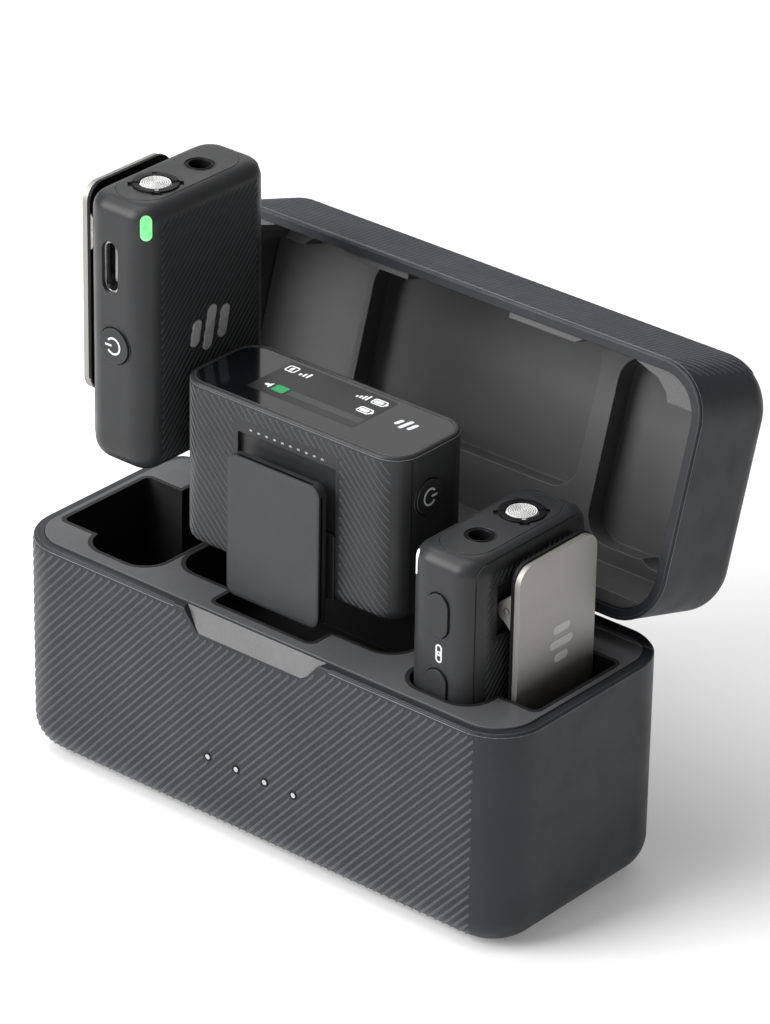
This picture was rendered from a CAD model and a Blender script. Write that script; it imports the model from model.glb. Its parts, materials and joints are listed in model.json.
import json
import math

import bpy
from mathutils import Matrix, Vector


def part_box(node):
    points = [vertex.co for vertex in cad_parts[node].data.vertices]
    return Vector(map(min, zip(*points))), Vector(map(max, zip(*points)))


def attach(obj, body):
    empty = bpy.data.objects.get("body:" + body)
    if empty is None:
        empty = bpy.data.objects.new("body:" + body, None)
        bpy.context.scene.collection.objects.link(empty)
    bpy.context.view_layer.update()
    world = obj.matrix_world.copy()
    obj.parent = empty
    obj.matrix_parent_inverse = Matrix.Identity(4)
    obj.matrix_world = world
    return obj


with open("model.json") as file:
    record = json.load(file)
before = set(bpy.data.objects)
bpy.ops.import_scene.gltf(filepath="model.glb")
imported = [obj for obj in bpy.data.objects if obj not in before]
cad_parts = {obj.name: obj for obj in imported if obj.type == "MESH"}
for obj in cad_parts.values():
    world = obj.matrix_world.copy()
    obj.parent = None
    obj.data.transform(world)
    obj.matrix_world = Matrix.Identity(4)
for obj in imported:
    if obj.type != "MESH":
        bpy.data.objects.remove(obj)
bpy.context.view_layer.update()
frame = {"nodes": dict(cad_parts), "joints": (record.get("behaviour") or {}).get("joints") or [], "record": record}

MM = 0.001
NODES = frame["nodes"]
JOINTS = {j["name"]: j for j in frame["joints"]}


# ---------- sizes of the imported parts, in mm ----------

def box_mm(node):
    low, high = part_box(node)
    return low / MM, high / MM


case_low, case_high = box_mm("case_shell")
CASE_W = case_high.x - case_low.x
CASE_D = case_high.y - case_low.y
RIM_Z = case_high.z
CASE_CORNER = 8.8
BASE_EDGE = 6
LID_H = 20.5
LID_EDGE = 4.5
LID_OPEN = math.radians(106.8)
HINGE = Vector(JOINTS["lid_hinge"]["pos_m"]) / MM

TX_W, TX_D, TX_H = 14, 30, 47.3
TX_CORNER, TX_TOP_EDGE, TX_LOW_EDGE = 4.4, 2.8, 4
RX_W, RX_D, RX_H = 46.4, 18, 29.6
RX_CORNER, RX_LOW_EDGE = 4.8, 2.5
POWER_KEY_Z, LINK_MARK_Z = 22.2, 30.4
RX_POWER_Y, RX_POWER_Z = -1.8, 21.2
MIC_Y = 5.2
JACK_Y = -5.2
KEY_FACE = TX_D / 2 + 0.4
GLASS_Z = RX_H - 0.1


def place_of(plate, shell, turn):
    """Matrix from a device's own frame to the row frame, in mm."""
    low, high = box_mm(plate)
    middle = (low + high) / 2
    return Matrix.Translation((middle.x, middle.y, box_mm(shell)[0].z)) @ Matrix.Rotation(turn, 4, "Z")


TX1 = place_of("tx1_top_plate", "tx1_front_shell", math.pi)
TX2 = place_of("tx2_top_plate", "tx2_front_shell", 0)
RX = place_of("rx_glass", "rx_shell", 0)
CASE = Matrix.Identity(4)
TRANSMITTERS = (("tx1", TX1, "left_transmitter"), ("tx2", TX2, "right_transmitter"))
LID = Matrix.Translation(HINGE) @ Matrix.Rotation(-LID_OPEN, 4, "X") @ Matrix.Translation(-HINGE)


# ---------- materials ----------

class Shader:
    """A material being wired: each call makes one node and returns it."""

    def __init__(self, name):
        self.material = bpy.data.materials.new(name)
        self.material.use_nodes = True
        self.tree = self.material.node_tree
        self.tree.nodes.clear()
        self.output = self.node("ShaderNodeOutputMaterial")
        self.surface = self.node("ShaderNodeBsdfPrincipled")
        self.link(self.surface.outputs[0], self.output.inputs["Surface"])
        self.place = self.node("ShaderNodeTexCoord").outputs["Object"]

    def node(self, kind, **settings):
        made = self.tree.nodes.new(kind)
        for key, value in settings.items():
            setattr(made, key, value)
        return made

    def link(self, source, target):
        self.tree.links.new(source, target)

    def noise(self, size_mm, detail=2.0, stretch=None):
        made = self.node("ShaderNodeTexNoise")
        made.inputs["Scale"].default_value = 1 / (size_mm * MM)
        made.inputs["Detail"].default_value = detail
        where = self.place
        if stretch:
            mapping = self.node("ShaderNodeMapping")
            mapping.inputs["Scale"].default_value = stretch
            self.link(where, mapping.inputs["Vector"])
            where = mapping.outputs[0]
        self.link(where, made.inputs["Vector"])
        return made.outputs["Fac"]

    def ramp(self, source, stops):
        made = self.node("ShaderNodeValToRGB")
        for i, (position, color) in enumerate(stops):
            if i > 1:
                made.color_ramp.elements.new(position)
            made.color_ramp.elements[i].position = position
            made.color_ramp.elements[i].color = (*color, 1)
        self.link(source, made.inputs["Fac"])
        return made.outputs["Color"]

    def spread(self, source, low, high, source_low=0.3, source_high=0.7):
        made = self.node("ShaderNodeMapRange")
        for key, value in zip(("From Min", "From Max", "To Min", "To Max"),
                              (source_low, source_high, low, high)):
            made.inputs[key].default_value = value
        self.link(source, made.inputs["Value"])
        return made.outputs[0]

    def mix(self, share, first, second):
        made = self.node("ShaderNodeMix", data_type="RGBA")
        self.link(share, made.inputs["Factor"])
        for name, value in (("A", first), ("B", second)):
            socket = [s for s in made.inputs if s.name == name and s.type == "RGBA"][0]
            if isinstance(value, tuple):
                socket.default_value = (*value, 1)
            else:
                self.link(value, socket)
        return [s for s in made.outputs if s.type == "RGBA"][0]

    def along(self, origin, direction):
        """Distance in metres from a plane through origin, both in the row frame."""
        away = self.node("ShaderNodeVectorMath", operation="SUBTRACT")
        away.inputs[1].default_value = origin
        self.link(self.place, away.inputs[0])
        dot = self.node("ShaderNodeVectorMath", operation="DOT_PRODUCT")
        dot.inputs[1].default_value = direction
        self.link(away.outputs["Vector"], dot.inputs[0])
        return dot.outputs["Value"]

    def edges(self, radius_mm):
        """Normal rounded over sharp edges, and how far it turns from the flat one."""
        bevel = self.node("ShaderNodeBevel", samples=6)
        bevel.inputs["Radius"].default_value = radius_mm * MM
        flat = self.node("ShaderNodeNewGeometry").outputs["Normal"]
        dot = self.node("ShaderNodeVectorMath", operation="DOT_PRODUCT")
        self.link(bevel.outputs[0], dot.inputs[0])
        self.link(flat, dot.inputs[1])
        return bevel.outputs[0], self.spread(dot.outputs["Value"], 1, 0, 0.8, 0.995)

    def bump(self, height, distance_mm, strength, normal=None):
        made = self.node("ShaderNodeBump")
        made.inputs["Distance"].default_value = distance_mm * MM
        made.inputs["Strength"].default_value = strength
        self.link(height, made.inputs["Height"])
        if normal:
            self.link(normal, made.inputs["Normal"])
        self.link(made.outputs[0], self.surface.inputs["Normal"])

    def set(self, **values):
        for key, value in values.items():
            self.surface.inputs[key.replace("_", " ")].default_value = value


def times(color, factor):
    return tuple(min(1, c * factor) for c in color)


def satin(name, color, rough=0.5, grain_mm=0.22, depth_mm=0.012, vary=0.12, wear=1.7,
          edge_mm=0.18, specular=0.3):
    """Moulded or blasted surface: fine grain, slow colour change, rubbed edges."""
    s = Shader(name)
    grain = s.noise(grain_mm, 3)
    base = s.ramp(s.noise(14, 4), [(0.3, times(color, 1 - vary)), (0.7, times(color, 1 + vary))])
    base = s.mix(s.spread(grain, 0, 0.35), base, times(color, 1.5))
    normal = None
    if edge_mm:
        normal, worn = s.edges(edge_mm)
        base = s.mix(worn, base, times(color, wear))
    s.link(base, s.surface.inputs["Base Color"])
    s.link(s.spread(s.noise(5, 4), rough - 0.07, rough + 0.07), s.surface.inputs["Roughness"])
    s.set(Specular_IOR_Level=specular)
    s.bump(grain, depth_mm, 0.5, normal)
    return s.material


def brushed(name, color, rough=0.3, stretch=(1, 1, 0.03), size_mm=0.12, depth_mm=0.004, edge_mm=0.12,
            vary=0.2):
    """Metal brushed along its longest stretch."""
    s = Shader(name)
    strokes = s.noise(size_mm, 4, stretch)
    base = s.ramp(strokes, [(0.3, times(color, 1 - vary)), (0.72, times(color, 1 + vary))])
    s.link(base, s.surface.inputs["Base Color"])
    s.link(s.spread(strokes, rough - 0.08, rough + 0.1), s.surface.inputs["Roughness"])
    s.set(Metallic=1.0)
    s.bump(strokes, depth_mm, 0.4, s.edges(edge_mm)[0])
    return s.material


def glossy(name, color, rough=0.06, coat=0.6, specular=0.42):
    """Glass or lacquer with faint smears."""
    s = Shader(name)
    smear = s.noise(9, 5)
    s.link(s.ramp(smear, [(0.3, times(color, 0.85)), (0.7, times(color, 1.15))]),
           s.surface.inputs["Base Color"])
    s.link(s.spread(smear, rough, rough + 0.07), s.surface.inputs["Roughness"])
    s.set(Coat_Weight=coat, Coat_Roughness=0.05, Specular_IOR_Level=specular)
    s.bump(smear, 0.02, 0.03)
    return s.material


def printed(name, color, glow=0.0):
    """Ink or a lit mark, slightly uneven."""
    s = Shader(name)
    uneven = s.noise(0.5, 3)
    tint = s.ramp(uneven, [(0.3, times(color, 0.88)), (0.7, color)])
    s.link(tint, s.surface.inputs["Base Color"])
    s.link(s.spread(uneven, 0.4, 0.55), s.surface.inputs["Roughness"])
    if glow:
        s.link(tint, s.surface.inputs["Emission Color"])
        s.set(Emission_Strength=glow)
    s.bump(uneven, 0.01, 0.2)
    return s.material


def lens(name, middle_y_mm, green_side):
    """Two lit lenses in one node: green on one side of the middle, white on the other."""
    s = Shader(name)
    side = s.along((0, middle_y_mm * MM, 0), (0, green_side / (2 * MM), 0))
    share = s.spread(side, 0, 1, -0.5, 0.5)
    tint = s.mix(share, (0.85, 0.87, 0.88), (0.1, 0.85, 0.18))
    cloudy = s.mix(s.spread(s.noise(0.8, 3), 0, 0.25), tint, (0.9, 0.95, 0.9))
    s.link(cloudy, s.surface.inputs["Base Color"])
    s.link(cloudy, s.surface.inputs["Emission Color"])
    s.set(Emission_Strength=0.55, Roughness=0.35)
    s.bump(s.noise(0.3, 2), 0.01, 0.2)
    return s.material


def liner(name):
    """Lid liner: pale satin rim, darker the deeper its hollows go."""
    s = Shader(name)
    rim = LID @ Vector((0, 0, RIM_Z + 0.5))
    inward = LID.to_3x3() @ Vector((0, 0, 1))
    depth = s.along(tuple(rim * MM), tuple(inward))
    hollow = s.spread(depth, 0, 1, 0.05 * MM, 0.5 * MM)
    deep = s.ramp(s.spread(depth, 0, 1, 0, 16 * MM), [(0, (0.072,) * 3), (1, (0.084, 0.084, 0.085))])
    grain = s.noise(0.3, 3)
    pale = s.ramp(grain, [(0.3, (0.075, 0.075, 0.077)), (0.7, (0.105, 0.105, 0.107))])
    normal, worn = s.edges(0.25)
    base = s.mix(worn, s.mix(hollow, pale, deep), (0.12, 0.12, 0.123))
    s.link(base, s.surface.inputs["Base Color"])
    s.link(s.spread(s.noise(4, 4), 0.42, 0.56), s.surface.inputs["Roughness"])
    s.bump(grain, 0.014, 0.5, normal)
    return s.material


def board(name):
    """Solder mask with pale tracks."""
    s = Shader(name)
    tracks = s.node("ShaderNodeTexVoronoi", feature="DISTANCE_TO_EDGE")
    tracks.inputs["Scale"].default_value = 1 / (1.6 * MM)
    s.link(s.place, tracks.inputs["Vector"])
    line = s.spread(tracks.outputs["Distance"], 1, 0, 0.02, 0.05)
    s.link(s.mix(line, (0.012, 0.07, 0.035), (0.05, 0.19, 0.09)), s.surface.inputs["Base Color"])
    s.link(s.spread(s.noise(2, 3), 0.25, 0.4), s.surface.inputs["Roughness"])
    s.bump(line, 0.03, 0.4)
    return s.material


GRAPHITE = (0.0185, 0.0202, 0.0246)
LOOKS = {
    "graphite_plastic": satin("graphite_plastic", GRAPHITE, 0.46),
    "tray_plastic": satin("tray_plastic", (0.078, 0.079, 0.083), 0.42, edge_mm=0.2, wear=2.2),
    "liner_plastic": liner("liner_plastic"),
    "pocket_plastic": satin("pocket_plastic", (0.012, 0.012, 0.013), 0.6),
    "device_plastic": satin("device_plastic", (0.0235, 0.024, 0.0255), 0.38, grain_mm=0.16, depth_mm=0.006),
    "receiver_plastic": satin("receiver_plastic", (0.0235, 0.024, 0.0255), 0.42, wear=3.2, edge_mm=0.3),
    "key_plastic": satin("key_plastic", (0.022, 0.0225, 0.024), 0.36, grain_mm=0.16, depth_mm=0.006, wear=2.4,
                         edge_mm=0.25),
    "shoe_metal": satin("shoe_metal", (0.024, 0.025, 0.026), 0.42, edge_mm=0.3),
    "clip_steel": brushed("clip_steel", (0.36, 0.347, 0.322), 0.54, vary=0.06, depth_mm=0.002),
    "bright_steel": brushed("bright_steel", (0.40, 0.40, 0.40), 0.3),
    "contact_gold": brushed("contact_gold", (0.83, 0.6, 0.25), 0.25),
    "board_green": board("board_green"),
    "cell_foil": brushed("cell_foil", (0.42, 0.44, 0.47), 0.4),
    "magnet_metal": brushed("magnet_metal", (0.5, 0.51, 0.53), 0.3, (1, 1, 1), 0.6),
    "screen_glass": glossy("screen_glass", (0.004, 0.0045, 0.006), coat=0.0),
    "display_panel": glossy("display_panel", (0.001, 0.001, 0.0012), rough=0.3, coat=0.0),
    "white_mesh": satin("white_mesh", (0.82, 0.82, 0.81), 0.6, grain_mm=0.04, depth_mm=0.0015, vary=0.03,
                        wear=1.1, specular=0.1),
    "black_plastic": satin("black_plastic", (0.007, 0.007, 0.008), 0.4, specular=0.12),
}
LENS = {"tx1": lens("left_lens", TX1.translation.y, -1), "tx2": lens("right_lens", TX2.translation.y, 1)}
LIGHT_DOT = printed("light_dot", (0.42, 0.43, 0.44), 0.2)
RIB = satin("rib_plastic", (0.060, 0.062, 0.071), 0.42, vary=0.1, edge_mm=0)
RIB_DARK = satin("rib_dark", (0.033, 0.034, 0.036), 0.4, vary=0.1, edge_mm=0)
RIB_RECEIVER = satin("rib_receiver", (0.055, 0.056, 0.058), 0.42, vary=0.1, edge_mm=0)
RIM = satin("rim_satin", (0.17, 0.172, 0.176), 0.34, edge_mm=0)
FACET = satin("facet_satin", (0.125, 0.125, 0.127), 0.42, edge_mm=0)
FOOT = satin("foot_blasted", (0.036, 0.037, 0.039), 0.45, grain_mm=0.3, depth_mm=0.02, edge_mm=0.3, wear=4)
MARK = printed("mark_white", (0.75, 0.76, 0.77))
MARK_LIT = printed("mark_lit", (0.85, 0.86, 0.87), 0.35)
MARK_GREEN = printed("mark_green", (0.015, 0.33, 0.1), 0.12)
CONTACT_MARK = printed("contact_mark", (0.34, 0.34, 0.345))
MARK_GREY = printed("mark_grey", (0.045, 0.046, 0.048))
EMBLEM = satin("emblem_satin", (0.37, 0.37, 0.375), 0.3, edge_mm=0.1, wear=1.6, specular=0.6)
MESH_GAP = satin("mesh_gap", (0.08, 0.08, 0.08), 0.6, grain_mm=0.04, depth_mm=0.0015, edge_mm=0, specular=0.1)
CLIP_MARK = satin("clip_mark", (0.5, 0.495, 0.48), 0.4, edge_mm=0)

for part in frame["record"]["subparts"]:
    name, slot = part["node"], part["material_slot"]
    if slot == "light_lens":
        look = LIGHT_DOT if name == "case_lights" else LENS[name[:3]]
    else:
        look = LOOKS[slot]
    slots = NODES[name].data.materials
    slots.clear()
    slots.append(look)


# ---------- building pieces ----------

def make(name, points, faces, body, look, slot, smooth=False, place=CASE):
    """A mesh piece from points in mm, in the frame that place carries to the row frame."""
    mesh = bpy.data.meshes.new(name)
    mesh.from_pydata([(place @ Vector(p)) * MM for p in points], [], faces)
    mesh.validate()
    mesh.materials.append(look)
    mesh.polygons.foreach_set("use_smooth", [smooth] * len(mesh.polygons))
    obj = bpy.data.objects.new(name, mesh)
    bpy.context.scene.collection.objects.link(obj)
    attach(obj, body)
    return obj


def bevel(obj, width_mm, segments=3):
    modifier = obj.modifiers.new("edge", "BEVEL")
    modifier.width = width_mm * MM
    modifier.segments = segments
    modifier.limit_method = "ANGLE"
    return obj


class Build:
    """Points and faces of one piece, gathered solid by solid."""

    def __init__(self):
        self.points, self.faces = [], []

    def rings(self, rings, closed=False):
        """A tube through rings of equal length. Open tubes get end caps."""
        start, n, count = len(self.points), len(rings[0]), len(rings)
        for ring in rings:
            self.points += ring
        for i in range(count if closed else count - 1):
            a, b = start + i * n, start + (i + 1) % count * n
            self.faces += [(a + k, a + (k + 1) % n, b + (k + 1) % n, b + k) for k in range(n)]
        if not closed:
            self.faces.append(tuple(start + k for k in reversed(range(n))))
            self.faces.append(tuple(start + (count - 1) * n + k for k in range(n)))

    def plate(self, outline, low, high, plane):
        """A flat plate: its outline in a plane, and its thickness from low to high."""
        self.rings([[plane(a, b, h) for a, b in outline] for h in (low, high)])

    def band(self, path, width, low, high, plane, closed=False):
        """A strip of even width along a path in a plane."""
        rings = []
        for i, (a, b) in enumerate(path):
            before = path[i - 1] if closed or i else path[0]
            after = path[(i + 1) % len(path)] if closed or i < len(path) - 1 else path[-1]
            along = Vector((after[0] - before[0], after[1] - before[1])).normalized()
            side = Vector((-along.y, along.x)) * width / 2
            rings.append([plane(a - side.x, b - side.y, low), plane(a + side.x, b + side.y, low),
                          plane(a + side.x, b + side.y, high), plane(a - side.x, b - side.y, high)])
        self.rings(rings, closed)

    def piece(self, name, *args, **kwargs):
        return make(name, self.points, self.faces, *args, **kwargs)


def plane_at(origin, across, up):
    """Maps (a, b, height) to a point: a across, b up, height out of the plane."""
    o, x, y = Vector(origin), Vector(across), Vector(up)
    out = x.cross(y)
    return lambda a, b, h: tuple(o + x * a + y * b + out * h)


def arc(cx, cy, r, start, end, steps=12):
    return [(cx + r * math.cos(math.radians(start + (end - start) * i / steps)),
             cy + r * math.sin(math.radians(start + (end - start) * i / steps))) for i in range(steps + 1)]


def rounded(cx, cy, w, h, r, steps=5):
    """Outline of a rounded rectangle."""
    r = min(r, w / 2 - 0.001, h / 2 - 0.001)
    outline = []
    for sx, sy, start in ((1, 1, 0), (-1, 1, 90), (-1, -1, 180), (1, -1, 270)):
        outline += arc(cx + sx * (w / 2 - r), cy + sy * (h / 2 - r), r, start, start + 90, steps)
    return outline


def emblem(build, plane, height, scale=1.0, lean=0.0):
    for i, tall in enumerate((2.6, 4.4, 3.2)):
        bar = rounded(0, 0, 1.15 * scale, tall * scale, 0.55 * scale)
        shift = (i - 1) * 1.95 * scale
        build.plate([(a + shift + b * lean, b) for a, b in bar], -0.05, height, plane)


def power_symbol(build, plane, height, scale=1.0):
    build.band(arc(0, 0, 1.25 * scale, 128, 412, 22), 0.3 * scale, -0.05, height, plane)
    build.band([(0, 0.35 * scale), (0, 1.6 * scale)], 0.3 * scale, -0.05, height, plane)


# ---------- ribs ----------

class Skin:
    """The side wall of a rounded box. u runs round it from the middle of its -Y side, v is the
    height, and below the low edge or above the top one v follows the rounding."""

    def __init__(self, w, d, corner, low, z_top, top, place, turn=0.0, z_low=0.0):
        self.w, self.d, self.r, self.low, self.top = w, d, corner, low, top
        self.z_low, self.z_top = z_low, z_top
        self.place = place @ Matrix.Rotation(turn, 4, "Z")

    def around(self, u):
        flat, deep = self.w / 2 - self.r, self.d - 2 * self.r
        s, side = abs(u), 1 if u >= 0 else -1
        quarter = math.pi / 2 * self.r
        if s <= flat:
            x, y, nx, ny = s, -self.d / 2, 0, -1
        elif s <= flat + quarter:
            a = (s - flat) / self.r
            nx, ny = math.sin(a), -math.cos(a)
            x, y = flat + self.r * nx, -self.d / 2 + self.r + self.r * ny
        else:
            x, y, nx, ny = self.w / 2, -self.d / 2 + self.r + (s - flat - quarter), 1, 0
        return Vector((side * x, y, 0)), Vector((side * nx, ny, 0))

    def at(self, u, v, lift):
        point, out = self.around(u)
        z, tilt = v, 0
        low_v, top_v = self.z_low + self.low, self.z_top - self.top
        if self.low and v < low_v:
            b = (low_v - v) / self.low
            point -= out * self.low * (1 - math.cos(b))
            z, tilt = low_v - self.low * math.sin(b), -b
        elif self.top and v > top_v:
            b = (v - top_v) / self.top
            point -= out * self.top * (1 - math.cos(b))
            z, tilt = top_v + self.top * math.sin(b), b
        normal = out * math.cos(tilt) + Vector((0, 0, math.sin(tilt)))
        return tuple(point + Vector((0, 0, z)) + normal * lift)


def ribs(name, skin, region, inside, pitch, angle, height, body, look, slot, share=0.56, step=0.3):
    """Raised diagonal ribs, cut off wherever inside(u, v) says no."""
    (u0, u1), (v0, v1) = region
    a = math.radians(angle)
    along, across = Vector((math.cos(a), math.sin(a))), Vector((-math.sin(a), math.cos(a)))
    corners = [Vector(c) for c in ((u0, v0), (u1, v0), (u1, v1), (u0, v1))]
    offsets = [c @ across for c in corners]
    reach = [c @ along for c in corners]
    build = Build()
    for k in range(math.ceil(min(offsets) / pitch), math.floor(max(offsets) / pitch) + 1):
        run = []
        steps = int((max(reach) - min(reach)) / step)
        for i in range(steps + 2):
            p = across * (k * pitch) + along * (min(reach) + i * step)
            if u0 <= p.x <= u1 and v0 <= p.y <= v1 and inside(p.x, p.y) and i <= steps:
                run.append(p)
            else:
                if len(run) > 3:
                    build.rings(rib_rings(skin, thin(skin, run), across, pitch * share, height))
                run = []
    return build.piece(name, body, look, slot, place=skin.place)


def thin(skin, run):
    """Leaves out the points of a run between two others where the surface is flat."""
    kept = [run[0], run[1]]
    for i in range(2, len(run) - 2):
        a, b, c = (Vector(skin.at(run[j].x, run[j].y, 0)) for j in (i - 1, i, i + 1))
        if (b - a).angle(c - b, 0) > 0.002:
            kept.append(run[i])
    return kept + run[-2:]


def rib_rings(skin, run, across, width, height):
    rings = []
    for i, p in enumerate(run):
        tall = height * (0.25 if i in (0, len(run) - 1) else 1)
        section = ((-0.5, -0.06), (-0.16, tall), (0.16, tall), (0.5, -0.06))
        rings.append([skin.at(*(p + across * width * s), lift) for s, lift in section])
    return rings


CASE_PITCH, CASE_ANGLE = 1.18, 47.5
TX_PITCH, TX_ANGLE = 0.95, 47.5
RX_PITCH, RX_ANGLE = 1.12, 133
BRACKET_U, BRACKET_V = (-9.7, 12.3), (33.1, 42.9)
RECESS_HALF, RECESS_TOP = 11.1, 26.2
BEZEL_CLEAR = 0.95
NOTCH_RISE, NOTCH_TOP, NOTCH_LOW, NOTCH_RUN = 3.6, 15, 11.3, 1.6
LIGHT_X, LIGHT_STEP, LIGHT_Z = 0.15, 6.13, 13.9
LIGHT_PLACES = (-1.5, -0.5, 0.5, 1.5)


def clear_of_front(u, v):
    low = RIM_Z - NOTCH_RISE
    slope = (NOTCH_TOP - NOTCH_LOW) / NOTCH_RISE
    if v > low - 0.5 and abs(u) < NOTCH_LOW + 0.6 + slope * (v - low):
        return False
    return all(math.hypot(u - LIGHT_X - LIGHT_STEP * i, v - LIGHT_Z) > BEZEL_CLEAR for i in LIGHT_PLACES)


case_skin = Skin(CASE_W, CASE_D, CASE_CORNER, BASE_EDGE, RIM_Z, 0, CASE)
ribs("case_front_ribs", case_skin, ((-53.5, 46), (0.8, RIM_Z - 0.9)), clear_of_front,
     CASE_PITCH, CASE_ANGLE, 0.17, "case", RIB, "graphite_plastic")

lid_skin = Skin(CASE_W, CASE_D, CASE_CORNER, 0, RIM_Z + LID_H, LID_EDGE, LID, z_low=RIM_Z)
ribs("lid_front_ribs", lid_skin, ((-50, 49), (RIM_Z + 1.1, RIM_Z + LID_H + 1.6)), lambda u, v: True,
     CASE_PITCH, CASE_ANGLE, 0.12, "lid", RIB, "graphite_plastic")

for prefix, place, body in TRANSMITTERS:
    for side, turn in (("front", -math.pi / 2), ("clip", math.pi / 2)):
        skin = Skin(TX_D, TX_W, TX_CORNER, TX_LOW_EDGE, TX_H, TX_TOP_EDGE, place, turn)
        bracket = side == "clip"

        def wide(u, v, bracket=bracket):
            return not (bracket and BRACKET_V[0] < v < BRACKET_V[1] and BRACKET_U[0] < u < BRACKET_U[1])

        ribs(f"{prefix}_{side}_ribs", skin, ((-11.6, 11.6), (2, TX_H - 2.4)), wide,
             TX_PITCH, TX_ANGLE, 0.14, body, RIB_DARK, "device_plastic", step=0.4)

rx_skin = Skin(RX_W, RX_D, RX_CORNER, RX_LOW_EDGE, RX_H, 0, RX)
ribs("rx_front_ribs", rx_skin, ((-26, 21.2), (0.8, RX_H - 0.9)),
     lambda u, v: not (abs(u) < RECESS_HALF and v < RECESS_TOP), RX_PITCH, RX_ANGLE, 0.12,
     "receiver", RIB_RECEIVER, "receiver_plastic")
rx_back = Skin(RX_W, RX_D, RX_CORNER, RX_LOW_EDGE, RX_H, 0, RX, math.pi)
ribs("rx_back_ribs", rx_back, ((-21, 21), (0.8, RX_H - 0.9)), lambda u, v: True,
     RX_PITCH, RX_ANGLE, 0.12, "receiver", RIB_RECEIVER, "receiver_plastic")


def light_bezels():
    """A dark ring round each of the four battery lights."""
    build = Build()
    face = plane_at((LIGHT_X, -CASE_D / 2, LIGHT_Z), (1, 0, 0), (0, 0, 1))
    for i in LIGHT_PLACES:
        build.band([(a + LIGHT_STEP * i, b) for a, b in arc(0, 0, 0.62, 0, 360, 24)[:-1]], 0.3, -0.05, 0.09,
                   face, closed=True)
    return build.piece("case_light_bezels", "case", LOOKS["black_plastic"], "black_plastic")


light_bezels()


# ---------- rims and the thumb facet ----------

def rim_strip(name, w, d, corner, z, drop, body, look, place, slot, gaps=lambda x, y: False, wide=0.45):
    """A slim chamfered line along the edge of a rounded rectangle."""
    outline = rounded(0, 0, w, d, corner, 10)
    dense = []
    for i, p in enumerate(outline):
        q = outline[(i + 1) % len(outline)]
        n = max(1, int(math.dist(p, q) / 1.5))
        dense += [(p[0] + (q[0] - p[0]) * k / n, p[1] + (q[1] - p[1]) * k / n) for k in range(n)]
    build, run = Build(), []

    def ring(p):
        inner = Vector((max(-w / 2 + corner, min(w / 2 - corner, p[0])),
                        max(-d / 2 + corner, min(d / 2 - corner, p[1]))))
        out = (Vector(p) - inner).normalized()
        rows = ((0.06, drop), (-wide, 0.02 if drop < 0 else -0.02), (-wide, drop * 0.6), (-0.2, drop))
        return [(p[0] + out.x * o, p[1] + out.y * o, z + h) for o, h in rows]

    first = next((i for i, p in enumerate(dense) if gaps(*p)), None)
    order = dense if first is None else dense[first:] + dense[:first]
    if first is None:
        build.rings([ring(p) for p in order], closed=True)
    else:
        for p in order + [order[0]]:
            if gaps(*p):
                if len(run) > 2:
                    build.rings([ring(q) for q in run])
                run = []
            else:
                run.append(p)
    return build.piece(name, body, look, slot, place=place)


rim_strip("case_rim_line", CASE_W, CASE_D, CASE_CORNER, RIM_Z, -0.45, "case", RIM, CASE, "graphite_plastic",
          lambda x, y: (y < 0 and abs(x) < NOTCH_TOP + 0.2) or y > 13)
rim_strip("lid_rim_line", CASE_W, CASE_D, CASE_CORNER, RIM_Z, 0.45, "lid", RIM, LID, "graphite_plastic",
          lambda x, y: y > 17 and abs(x) < 28)
rim_strip("rx_rim_line", RX_W, RX_D, RX_CORNER, RX_H, -0.55, "receiver", RIM, RX, "receiver_plastic", wide=0.8)

slope = math.atan2(NOTCH_RISE, NOTCH_RUN)
facet_plane = plane_at((0, -CASE_D / 2, RIM_Z - NOTCH_RISE), (1, 0, 0), (0, math.cos(slope), math.sin(slope)))
facet_length = math.hypot(NOTCH_RISE, NOTCH_RUN)
facet = Build()
facet.plate([(-NOTCH_TOP + 0.3, facet_length), (-NOTCH_LOW - 0.5, 0.75), (-NOTCH_LOW + 0.5, 0.08),
             (NOTCH_LOW - 0.5, 0.08), (NOTCH_LOW + 0.5, 0.75), (NOTCH_TOP - 0.3, facet_length)],
            -0.03, 0.1, facet_plane)
facet.piece("notch_facet", "case", FACET, "graphite_plastic")


# ---------- the transmitters' details ----------

MESH_R, WIRES, WIRE_GAP, FIRST_WIRE = 2.42, 7, 0.36, 0.18
MESH_LIFT, MESH_CROWN = 0.22, 0.05
WIRE_HALF_WIDTH, WIRE_HALF_HEIGHT = 0.125, 0.065


def mic_mesh(name, place, body):
    """Crowned disc of concentric wires with short bridges, over a darker cloth."""
    build = Build()

    def crown(q, a, lift):
        return (q * math.cos(a), MIC_Y + q * math.sin(a),
                TX_H + MESH_LIFT + MESH_CROWN * (1 - (q / MESH_R) ** 2) + lift)

    def turn(steps):
        return [2 * math.pi * k / steps for k in range(steps)]

    under = Build()
    under.rings([[crown(q * MESH_R, a, -0.01) for a in turn(32)] for q in (1, 0.75, 0.5, 0.25, 0.05)])
    under.piece(f"{name}_cloth", body, MESH_GAP, "white_mesh", place=place)
    for i in range(WIRES):
        q = FIRST_WIRE + WIRE_GAP * i
        build.rings([[crown(q + WIRE_HALF_WIDTH * math.cos(c), a, WIRE_HALF_HEIGHT * math.sin(c))
                      for c in turn(6)]
                     for a in turn(12 + 5 * i)], closed=True)
    for i in range(WIRES - 1):
        q, count = FIRST_WIRE + WIRE_GAP * i, 5 + 4 * i
        for k in range(count):
            a = 2 * math.pi * (k + 0.5 * (i % 2)) / count
            side = 0.07 / (q + WIRE_GAP / 2)
            build.rings([[crown(at, a - side, -0.06), crown(at, a + side, -0.06), crown(at, a + side, 0.03),
                          crown(at, a - side, 0.03)] for at in (q, q + WIRE_GAP)])
    return build.piece(name, body, LOOKS["white_mesh"], "white_mesh", smooth=True, place=place)


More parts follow.
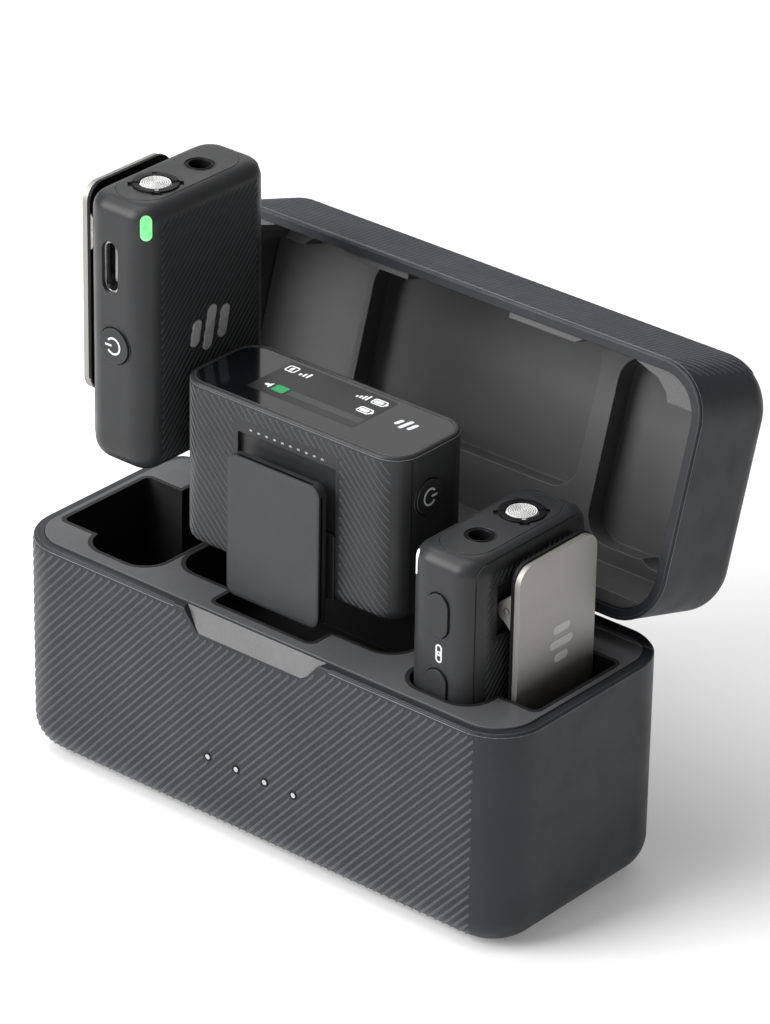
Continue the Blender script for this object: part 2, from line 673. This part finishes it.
COLLAR_R, COLLAR_WIDE, COLLAR_NOTCH = 3.3, 1.1, 7


def mic_collar(name, place, body):
    """Raised black collar round the microphone, with four notches."""
    top = plane_at((0, MIC_Y, TX_H), (1, 0, 0), (0, 1, 0))
    build = Build()
    build.band(arc(0, 0, COLLAR_R, 0, 360, 48)[:-1], COLLAR_WIDE - 0.12, -0.05, 0.1, top, closed=True)
    for quarter in range(4):
        start = 45 + 90 * quarter
        build.band(arc(0, 0, COLLAR_R, start + COLLAR_NOTCH, start + 90 - COLLAR_NOTCH, 14), COLLAR_WIDE,
                   -0.05, 0.3, top)
    return bevel(build.piece(name, body, LOOKS["black_plastic"], "black_plastic", place=place), 0.08, 2)


def ring_piece(name, centre, axis, r, thick, body, look, slot, place, sides=8, steps=40):
    """A torus round an axis."""
    axis = Vector(axis)
    x = axis.orthogonal().normalized()
    y = axis.cross(x)
    build, rings = Build(), []
    for i in range(steps):
        a = 2 * math.pi * i / steps
        out = x * math.cos(a) + y * math.sin(a)
        rings.append([tuple(Vector(centre) + out * (r + thick * math.cos(b)) + axis * thick * math.sin(b))
                      for b in (2 * math.pi * k / sides for k in range(sides))])
    build.rings(rings, closed=True)
    return build.piece(name, body, look, slot, smooth=True, place=place)


SEAM_X = 6.02
SEAM_STEPS = 96


def seam_point(step, inset, x):
    """A point of the seam round the rear cover: a rounded rectangle in the Y-Z plane."""
    from_side = TX_W / 2 - SEAM_X
    squeeze = [r - math.sqrt(max(0, r * r - (r - from_side) ** 2))
               for r in (TX_CORNER, TX_TOP_EDGE, TX_LOW_EDGE)]
    half, top, low = TX_D / 2 - squeeze[0] - inset, TX_H - squeeze[1] - inset, squeeze[2] + inset
    outline = rounded(0, (top + low) / 2, 2 * half, top - low, 3, 8)
    lengths = [math.dist(outline[i], outline[(i + 1) % len(outline)]) for i in range(len(outline))]
    away = step / SEAM_STEPS * sum(lengths)
    for i, length in enumerate(lengths):
        if away <= length:
            (a, b), (c, d) = outline[i], outline[(i + 1) % len(outline)]
            return SEAM_X + x, a + (c - a) * away / length, b + (d - b) * away / length
        away -= length
    return SEAM_X + x, *outline[0]


CLIP_X = 9.3
CLIP_T = 1.4
CLIP_DEPTH = 19.2
CLIP_MID_Y = 1.3
PAD_H = 36.9
PAD_Z = 27.55
for prefix, place, body in TRANSMITTERS:
    mic_mesh(f"{prefix}_mic_mesh", place, body)
    mic_collar(f"{prefix}_mic_collar", place, body)
    ring_piece(f"{prefix}_jack_ring", (0, JACK_Y, TX_H - 0.12), (0, 0, 1), 2.0, 0.2, body,
               LOOKS["black_plastic"], "black_plastic", place)
    ring_piece(f"{prefix}_jack_lip", (0, JACK_Y, TX_H - 0.05), (0, 0, 1), 2.6, 0.14, body,
               LOOKS["device_plastic"], "device_plastic", place)
    ring_piece(f"{prefix}_power_ring", (0, TX_D / 2 + 0.01, POWER_KEY_Z), (0, 1, 0), 3.3, 0.11, body,
               LOOKS["key_plastic"], "key_plastic", place)

    face = Build()
    emblem(face, plane_at((-TX_W / 2, 0.3, 22.6), (0, -1, 0), (0, 0, 1)), 0.3, 1.7, 0.2)
    face.piece(f"{prefix}_emblem", body, EMBLEM, "device_plastic", place=place)

    seam = Build()
    section = ((0.02, -0.07), (-0.03, -0.07), (-0.03, 0.07), (0.02, 0.07))
    seam.rings([[seam_point(t, inset, x) for inset, x in section] for t in range(SEAM_STEPS)], closed=True)
    seam.piece(f"{prefix}_seam", body, LOOKS["black_plastic"], "black_plastic", place=place)

    links = Build()
    link_plane = plane_at((0.3, -TX_D / 2, LINK_MARK_Z), (1, 0, 0), (0, 0, 1))
    for up, height in ((-0.6, 0.05), (0.6, 0.07)):
        links.band(rounded(0, up, 1.0, 1.75, 0.49), 0.3, -0.03, height, link_plane, closed=True)
    links.piece(f"{prefix}_link_icon", body, MARK, "light_lens", place=place)

    power = Build()
    power_symbol(power, plane_at((0, KEY_FACE, POWER_KEY_Z), (0, 0, 1), (1, 0, 0)), 0.05, 1.1)
    power.piece(f"{prefix}_power_symbol", f"{body}_power_key", MARK, "light_lens", place=place)

    clip = Build()
    emblem(clip, plane_at((CLIP_X + CLIP_T, 2.5, 29.2), (0, 0, 1), (0, -1, 0)), 0.05, 1.3)
    clip.piece(f"{prefix}_clip_emblem", f"{body}_clip", CLIP_MARK, "clip_steel", place=place)

    pad = Build()
    pad.plate(rounded(-CLIP_MID_Y, PAD_Z, CLIP_DEPTH + 0.12, PAD_H + 0.12, 3.06), -0.35, 0.3,
              plane_at((CLIP_X, 0, 0), (0, -1, 0), (0, 0, 1)))
    pad.piece(f"{prefix}_clip_pad", f"{body}_clip", LOOKS["black_plastic"], "black_plastic", place=place)


# ---------- the receiver's details ----------

glass = plane_at((0, 0, GLASS_Z), (1, 0, 0), (0, 1, 0))

screen = Build()
screen.plate(rounded(-1.6, 1.4, 22.4, 11.4, 0.5), -0.02, 0.02, glass)
screen.piece("rx_screen_area", "receiver", LOOKS["display_panel"], "display_panel", place=RX)

bar = Build()
bar.plate(rounded(-7.8, -1.7, 2.5, 2.1, 0.25), -0.02, 0.05, glass)
bar.piece("rx_level_bar", "receiver", MARK_GREEN, "display_panel", place=RX)

track = Build()
track.plate(rounded(1.6, -1.7, 15.2, 1.7, 0.2), -0.02, 0.035, glass)
track.piece("rx_level_track", "receiver", MARK_GREY, "display_panel", place=RX)

icons = Build()
icons.band(rounded(-11.1, 5.0, 1.9, 1.8, 0.4), 0.28, -0.02, 0.05, glass, closed=True)
icons.plate(rounded(-11.1, 5.0, 0.6, 1.2, 0.28), -0.02, 0.05, glass)
for i, tall in enumerate((0.7, 1.15, 1.6)):
    icons.plate(rounded(-8.9 + 0.75 * i, 4.1 + tall / 2, 0.4, tall, 0.1), -0.02, 0.05, glass)
icons.plate([(-10.9, -2.0), (-10.3, -2.0), (-9.7, -2.6), (-9.7, -0.8), (-10.3, -1.4), (-10.9, -1.4)],
            -0.02, 0.05, glass)
for i, tall in enumerate((0.5, 0.9, 1.3, 1.7)):
    icons.plate(rounded(2.9 + 0.62 * i, 4.4 + tall / 2, 0.36, tall, 0.08), -0.02, 0.05, glass)
for up in (5.2, 1.6):
    icons.band(rounded(7.1, up, 2.5, 1.6, 0.35), 0.24, -0.02, 0.05, glass, closed=True)
    icons.plate(rounded(7.0, up, 1.7, 0.85, 0.15), -0.02, 0.05, glass)
    icons.plate(rounded(8.62, up, 0.28, 0.7, 0.1), -0.02, 0.05, glass)
icons.piece("rx_screen_icons", "receiver", MARK_LIT, "light_lens", place=RX)

mark = Build()
emblem(mark, plane_at((15.2, 2.1, GLASS_Z), (1, 0, 0), (0, 1, 0)), 0.05, 0.72, 0.12)
mark.piece("rx_emblem", "receiver", MARK, "light_lens", place=RX)

power = Build()
power_symbol(power, plane_at((RX_W / 2 + 0.4, RX_POWER_Y, RX_POWER_Z), (0, 0, -1), (0, 1, 0)), 0.05, 1.1)
power.piece("rx_power_symbol", "receiver_power_key", MARK, "light_lens", place=RX)
ring_piece("rx_power_ring", (RX_W / 2, RX_POWER_Y, RX_POWER_Z), (1, 0, 0), 3.28, 0.13, "receiver",
           LOOKS["key_plastic"], "key_plastic", RX)

dots = Build()
for i in range(10):
    dots.plate(rounded(1.67 * (i - 4.5), 25, 0.62, 0.3, 0.14), -0.3, 0.1,
               plane_at((0, -RX_D / 2, 0), (1, 0, 0), (0, 0, 1)))
dots.piece("rx_contact_row", "receiver", CONTACT_MARK, "contact_gold", place=RX)

PANEL_U = 24.5
panel = Build()
panel.rings([[rx_skin.at(PANEL_U + side, v, lift) for side, lift in
              ((-0.1, -0.06), (-0.1, 0.015), (0.1, 0.015), (0.1, -0.06))]
             for v in (1 + (RX_H - 2) * i / 24 for i in range(25))])
panel.piece("rx_panel_line", "receiver", LOOKS["black_plastic"], "black_plastic", place=RX)

foot = Build()
foot.plate(rounded(0, 9.05, 19.4, 25.3, 1.8, 8), 0.5, 1.85, plane_at((0, -10.5, 0), (1, 0, 0), (0, 0, 1)))
bevel(foot.piece("foot_face", "shoe_mount", FOOT, "shoe_metal", place=RX), 0.5, 4)


# ---------- floor, light and camera ----------

def area_light(name, where, aim, size, power, color=(1, 1, 1)):
    data = bpy.data.lights.new(name, "AREA")
    data.shape = "RECTANGLE"
    data.size, data.size_y = size
    data.energy, data.color = power, color
    obj = bpy.data.objects.new(name, data)
    bpy.context.scene.collection.objects.link(obj)
    obj.location = where
    obj.rotation_mode = "QUATERNION"
    obj.rotation_quaternion = (Vector(aim) - Vector(where)).to_track_quat("-Z", "Y")


middle = (0, 0, 0.045)
area_light("key", (-0.6, -0.95, 0.75), middle, (0.9, 0.9), 21)
area_light("top", (-0.35, -0.1, 1.1), middle, (0.8, 0.8), 7)
area_light("back_card", (-0.9, 1.1, 0.8), middle, (1.6, 1.1), 5)

world = bpy.data.worlds.new("studio")
world.use_nodes = True
world.node_tree.nodes["Background"].inputs["Color"].default_value = (1, 1, 1, 1)
world.node_tree.nodes["Background"].inputs["Strength"].default_value = 0.27
bpy.context.scene.world = world

floor_mesh = bpy.data.meshes.new("floor")
FLOOR_HALF = 6
floor_mesh.from_pydata([(-FLOOR_HALF, -FLOOR_HALF, 0), (FLOOR_HALF, -FLOOR_HALF, 0),
                        (FLOOR_HALF, FLOOR_HALF, 0), (-FLOOR_HALF, FLOOR_HALF, 0)], [], [(0, 1, 2, 3)])
floor = bpy.data.objects.new("floor", floor_mesh)
bpy.context.scene.collection.objects.link(floor)
floor.location.z = -0.0002
paper = Shader("floor_paper")
paper.link(paper.ramp(paper.noise(120, 3), [(0.3, (0.86, 0.86, 0.86)), (0.7, (0.9, 0.9, 0.9))]),
           paper.surface.inputs["Base Color"])
paper.set(Roughness=0.9, Specular_IOR_Level=0.1, Emission_Color=(1, 1, 1, 1), Emission_Strength=0.16)
floor_mesh.materials.append(paper.material)

AZIMUTH, ELEVATION, ROLL = (math.radians(x) for x in (39.834, 27.732, 1.039))
DISTANCE_MM = 854.9
TARGET_MM = Vector((9.535, 0, 56.89))
SENSOR_MM = 36
LENS_MM = 188.7
back = Vector((math.sin(AZIMUTH) * math.cos(ELEVATION), -math.cos(AZIMUTH) * math.cos(ELEVATION),
               math.sin(ELEVATION)))
camera_data = bpy.data.cameras.new("camera")
camera_data.sensor_width = SENSOR_MM
camera_data.lens = LENS_MM
camera_data.clip_start, camera_data.clip_end = 0.01, 50
camera = bpy.data.objects.new("camera", camera_data)
bpy.context.scene.collection.objects.link(camera)
right = Vector((0, 0, 1)).cross(back).normalized()
upward = back.cross(right)
turned_right = right * math.cos(ROLL) + upward * math.sin(ROLL)
turned_up = upward * math.cos(ROLL) - right * math.sin(ROLL)
camera.matrix_world = (Matrix.Translation((TARGET_MM + back * DISTANCE_MM) * MM)
                       @ Matrix((turned_right, turned_up, back)).transposed().to_4x4())
bpy.context.scene.camera = camera
bpy.context.scene.view_settings.view_transform = "Standard"
